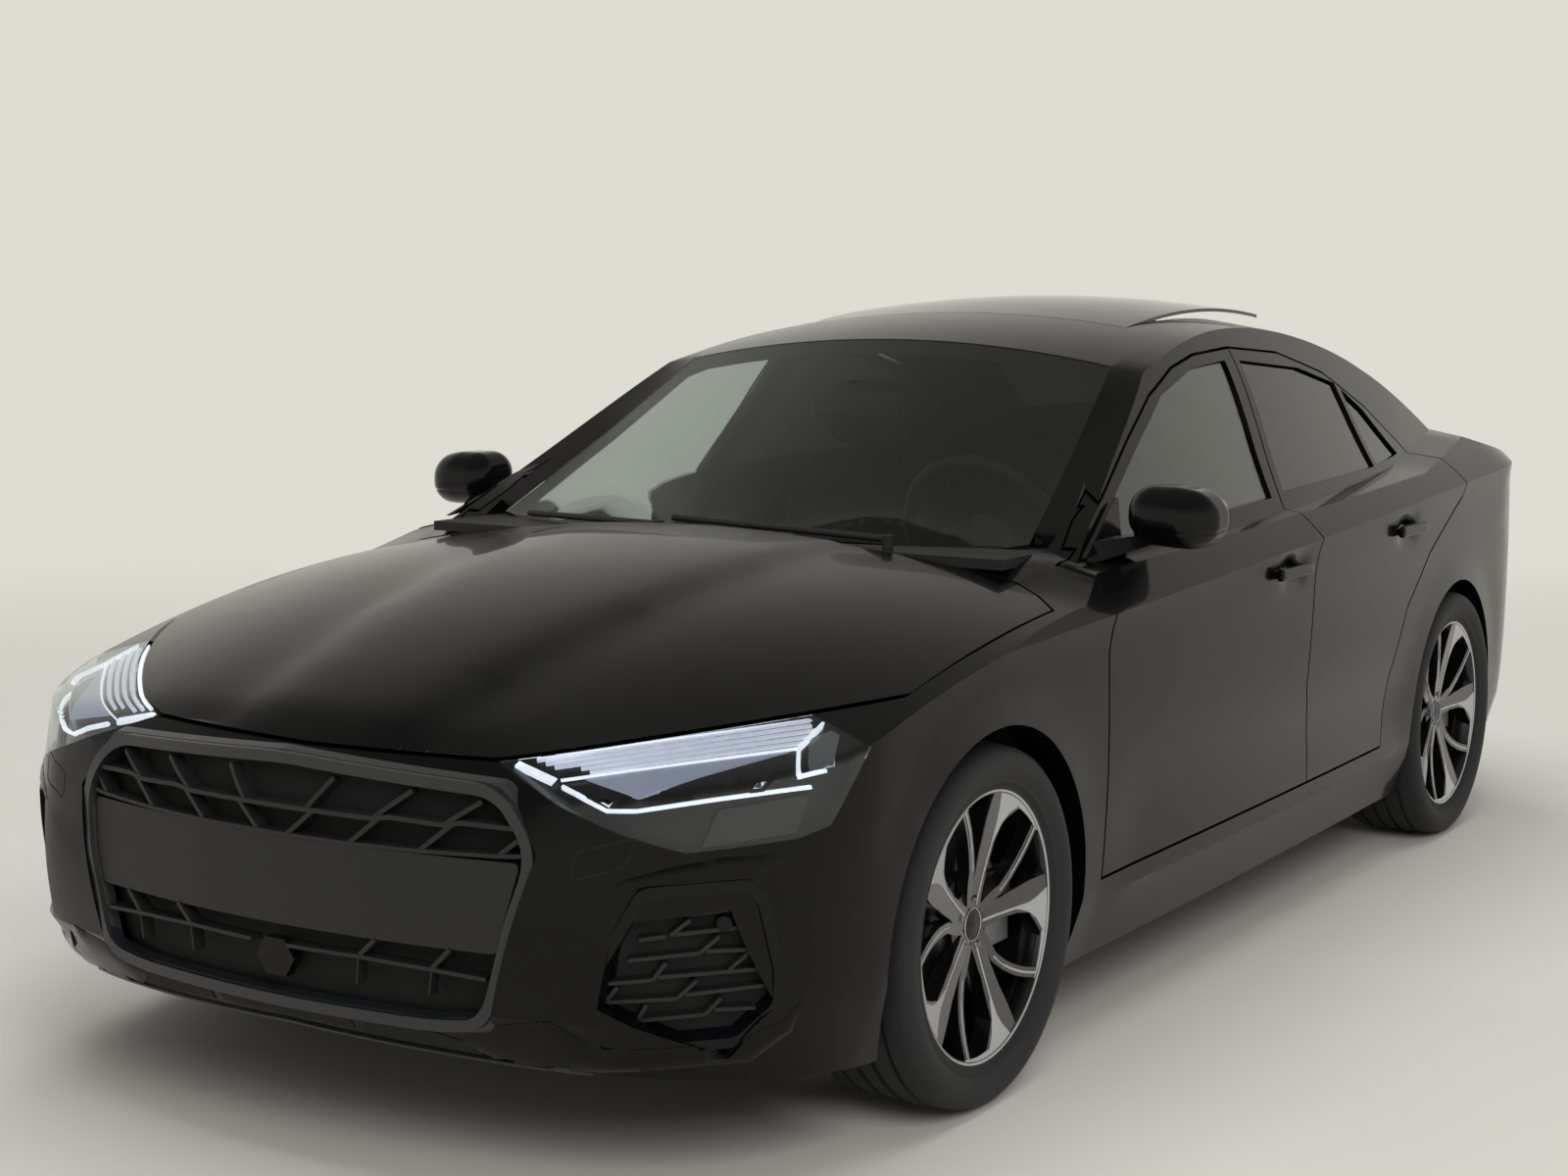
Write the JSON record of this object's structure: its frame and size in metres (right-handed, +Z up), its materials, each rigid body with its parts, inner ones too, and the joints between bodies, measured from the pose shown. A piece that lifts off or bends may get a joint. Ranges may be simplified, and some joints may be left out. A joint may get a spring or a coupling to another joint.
{
  "type": "compact four-door saloon car",
  "caption": "Compact saloon car with opening doors, bonnet and boot lid, a glass roof panel tilted open, steered front wheels and wide hexagonal front grille.",
  "frame": {"origin": "on the ground, on the centre plane, below the middle of the body length", "axes": "+X forward, +Y to the left of the car, +Z up"},
  "size_m": [4.4969, 1.978, 1.4195],
  "materials": {
    "paint_black": "gloss black paint under clear coat",
    "gloss_black": "gloss black",
    "underbody": "dark underbody coating",
    "roof_glass": "dark tinted glass",
    "trim_plastic": "grained black",
    "grille_black": "satin dark grey",
    "lamp_clear": "clear lens over dark housing",
    "lamp_red": "red lens",
    "clear_glass": "light green tint",
    "privacy_glass": "dark tint",
    "cast_alloy": "as cast",
    "tank_plastic": "moulded black",
    "exhaust_steel": "dull steel",
    "seat_cloth": "woven black",
    "cabin_plastic": "soft grained black",
    "wheel_alloy": "gloss black with machined faces",
    "tyre": "tyre rubber"
  },
  "bodies": {
    "body": {"arch_liners": "trim_plastic", "body_side_left": "paint_black", "body_side_right": "paint_black", "centre_console": "cabin_plastic", "dashboard": "cabin_plastic", "engine_block": "cast_alloy", "exhaust": "exhaust_steel", "floor_pan": "underbody", "front_bumper": "paint_black", "front_seats": "seat_cloth", "front_subframe": "underbody", "front_wings": "paint_black", "fuel_tank": "tank_plastic", "grille": "grille_black", "headlamps": "lamp_clear", "interior_mirror": "cabin_plastic", "parcel_shelf": "cabin_plastic", "radiator": "trim_plastic", "rear_axle": "underbody", "rear_bench": "seat_cloth", "rear_bumper": "paint_black", "rear_knuckles": "cast_alloy", "rear_window": "privacy_glass", "roof_panel": "paint_black", "scuttle_panel": "trim_plastic", "side_intakes": "grille_black", "sunroof_glass": "roof_glass", "tail_lamps": "lamp_red", "windscreen": "clear_glass", "wipers": "trim_plastic"},
    "door_front_left": {"door_front_left": "paint_black", "glass_front_left": "clear_glass", "door_mirror_left": "gloss_black"},
    "door_front_right": {"door_front_right": "paint_black", "glass_front_right": "clear_glass", "door_mirror_right": "gloss_black"},
    "door_rear_left": {"door_rear_left": "paint_black", "glass_rear_left": "privacy_glass"},
    "door_rear_right": {"door_rear_right": "paint_black", "glass_rear_right": "privacy_glass"},
    "bonnet": {"bonnet": "paint_black"},
    "boot_lid": {"boot_lid": "paint_black", "lid_lamps": "lamp_red"},
    "steering_wheel": {"steering_wheel": "cabin_plastic"},
    "front_knuckle_left": {"front_knuckle_left": "cast_alloy"},
    "front_knuckle_right": {"front_knuckle_right": "cast_alloy"},
    "front_wheel_left": {"front_wheel_left": "wheel_alloy", "front_tyre_left": "tyre"},
    "front_wheel_right": {"front_wheel_right": "wheel_alloy", "front_tyre_right": "tyre"},
    "rear_wheel_left": {"rear_wheel_left": "wheel_alloy", "rear_tyre_left": "tyre"},
    "rear_wheel_right": {"rear_wheel_right": "wheel_alloy", "rear_tyre_right": "tyre"}
  },
  "joints": [
    {"name": "door_front_left_hinge", "type": "hinge", "parent": "body", "child": "door_front_left", "pos_m": [0.968, 0.891, 0.6], "axis": [0, 0, -1], "range_deg": [0, 65]},
    {"name": "door_front_right_hinge", "type": "hinge", "parent": "body", "child": "door_front_right", "pos_m": [0.968, -0.891, 0.6], "axis": [0, 0, 1], "range_deg": [0, 65]},
    {"name": "door_rear_left_hinge", "type": "hinge", "parent": "body", "child": "door_rear_left", "pos_m": [-0.086, 0.897, 0.6], "axis": [0, 0, -1], "range_deg": [0, 68]},
    {"name": "door_rear_right_hinge", "type": "hinge", "parent": "body", "child": "door_rear_right", "pos_m": [-0.086, -0.897, 0.6], "axis": [0, 0, 1], "range_deg": [0, 68]},
    {"name": "bonnet_hinge", "type": "hinge", "parent": "body", "child": "bonnet", "pos_m": [0.945, 0, 0.915], "axis": [0, -1, 0], "range_deg": [0, 48]},
    {"name": "boot_lid_hinge", "type": "hinge", "parent": "body", "child": "boot_lid", "pos_m": [-1.622, 0, 1.104], "axis": [0, 1, 0], "range_deg": [0, 75]},
    {"name": "steer_left", "type": "hinge", "parent": "body", "child": "front_knuckle_left", "pos_m": [1.37, 0.745, 0.2], "axis": [0, -0.2349, 0.972], "range_deg": [-36, 36]},
    {"name": "steer_right", "type": "hinge", "parent": "body", "child": "front_knuckle_right", "pos_m": [1.37, -0.745, 0.2], "axis": [0, 0.2349, 0.972], "range_deg": [-36, 36]},
    {"name": "steering_wheel_turn", "type": "hinge", "parent": "body", "child": "steering_wheel", "pos_m": [0.44, 0.37, 0.9], "axis": [-0.9135, 0, 0.4067], "range_deg": [-504, 504]},
    {"name": "front_left_spin", "type": "hinge", "parent": "front_knuckle_left", "child": "front_wheel_left", "pos_m": [1.37, 0.777, 0.3235], "axis": [0, 1, 0], "continuous": true},
    {"name": "front_right_spin", "type": "hinge", "parent": "front_knuckle_right", "child": "front_wheel_right", "pos_m": [1.37, -0.777, 0.3235], "axis": [0, 1, 0], "continuous": true},
    {"name": "rear_left_spin", "type": "hinge", "parent": "body", "child": "rear_wheel_left", "pos_m": [-1.26, 0.767, 0.3235], "axis": [0, 1, 0], "continuous": true},
    {"name": "rear_right_spin", "type": "hinge", "parent": "body", "child": "rear_wheel_right", "pos_m": [-1.26, -0.767, 0.3235], "axis": [0, 1, 0], "continuous": true}
  ],
  "couplings": [
    {"joint": "steer_right", "follows": "steer_left", "ratio": 1},
    {"joint": "steering_wheel_turn", "follows": "steer_left", "ratio": 14}
  ]
}
